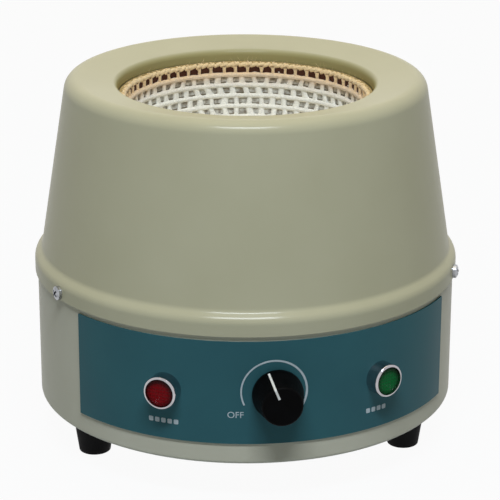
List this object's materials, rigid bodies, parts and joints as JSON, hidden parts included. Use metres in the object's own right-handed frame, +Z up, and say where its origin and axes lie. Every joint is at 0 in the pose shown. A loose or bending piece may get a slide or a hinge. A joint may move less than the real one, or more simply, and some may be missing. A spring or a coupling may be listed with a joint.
{
  "type": "heating mantle",
  "caption": "Round benchtop heating mantle: tapered housing with a knitted heating bowl for a round flask, on a drum base with a control knob and lamps.",
  "frame": {"origin": "on the table under the middle of the housing's box, which is the housing's axis", "axes": "+Z up along the housing's axis, -Y out through the middle of the control panel, +X to the right seen from the front"},
  "size_m": [0.24, 0.277, 0.2065],
  "materials": {
    "shell_paint": "cream powder coat, satin",
    "drum_paint": "cream powder coat, satin",
    "panel_paint": "teal-blue satin panel finish",
    "chrome": "bright chrome plate",
    "steel": "zinc-plated steel",
    "red_lens": "dark red moulded lens",
    "green_lens": "dark green moulded lens",
    "black_plastic": "black moulded plastic",
    "knob_black": "black moulded knob",
    "white_mark": "white filled line",
    "rubber": "black moulded rubber",
    "glass_fibre": "white knitted glass fibre",
    "edge_braid": "glass-fibre braid browned by heat",
    "wool": "glass wool",
    "galvanised": "galvanised sheet steel",
    "ceramic": "glazed ceramic",
    "board_resin": "phenolic paper laminate",
    "brass": "plain brass",
    "aluminium": "extruded aluminium",
    "copper_wire": "enamelled copper winding",
    "red_resin": "red dipped resin",
    "green_plastic": "green moulded terminal block",
    "fuse_glass": "clear glass tube"
  },
  "bodies": {
    "housing": {"upper_shell": "shell_paint", "base_drum": "drum_paint", "fascia_panel": "panel_paint", "power_lamp_bezel": "chrome", "power_lamp_lens": "red_lens", "power_lamp_body": "black_plastic", "power_lamp_nut": "black_plastic", "heat_lamp_bezel": "chrome", "heat_lamp_lens": "green_lens", "heat_lamp_body": "black_plastic", "heat_lamp_nut": "black_plastic", "control_body": "galvanised", "control_nut": "steel", "foot_left": "rubber", "foot_right": "rubber", "foot_rear": "rubber", "foot_screws": "steel", "foot_nuts": "steel", "shell_screws": "steel", "shell_clip_nuts": "galvanised", "heating_weave": "glass_fibre", "heater_cloth": "glass_fibre", "weave_edge": "edge_braid", "insulation": "wool", "insulation_pan": "galvanised", "pan_support": "galvanised", "heat_shield": "galvanised", "lead_bushing": "ceramic", "circuit_board": "board_resin", "board_standoffs": "brass", "board_screws": "steel", "triac": "black_plastic", "heat_sink": "aluminium", "capacitor": "red_resin", "choke": "copper_wire", "fuse": "fuse_glass", "fuse_clips": "brass", "terminal_block": "green_plastic", "terminal_screws": "steel", "gland_body": "black_plastic", "gland_nut": "black_plastic", "gland_seal": "rubber", "gland_lock_nut": "black_plastic", "earth_stud": "brass", "earth_nut": "brass"},
    "control": {"knob": "knob_black", "knob_pointer": "white_mark", "knob_set_screw": "steel", "control_shaft": "steel"}
  },
  "joints": [
    {"name": "knob_turn", "type": "hinge", "parent": "housing", "child": "control", "pos_m": [0, -0.13, 0.064], "axis": [0, -1, 0], "range_deg": [-157, 113]}
  ]
}
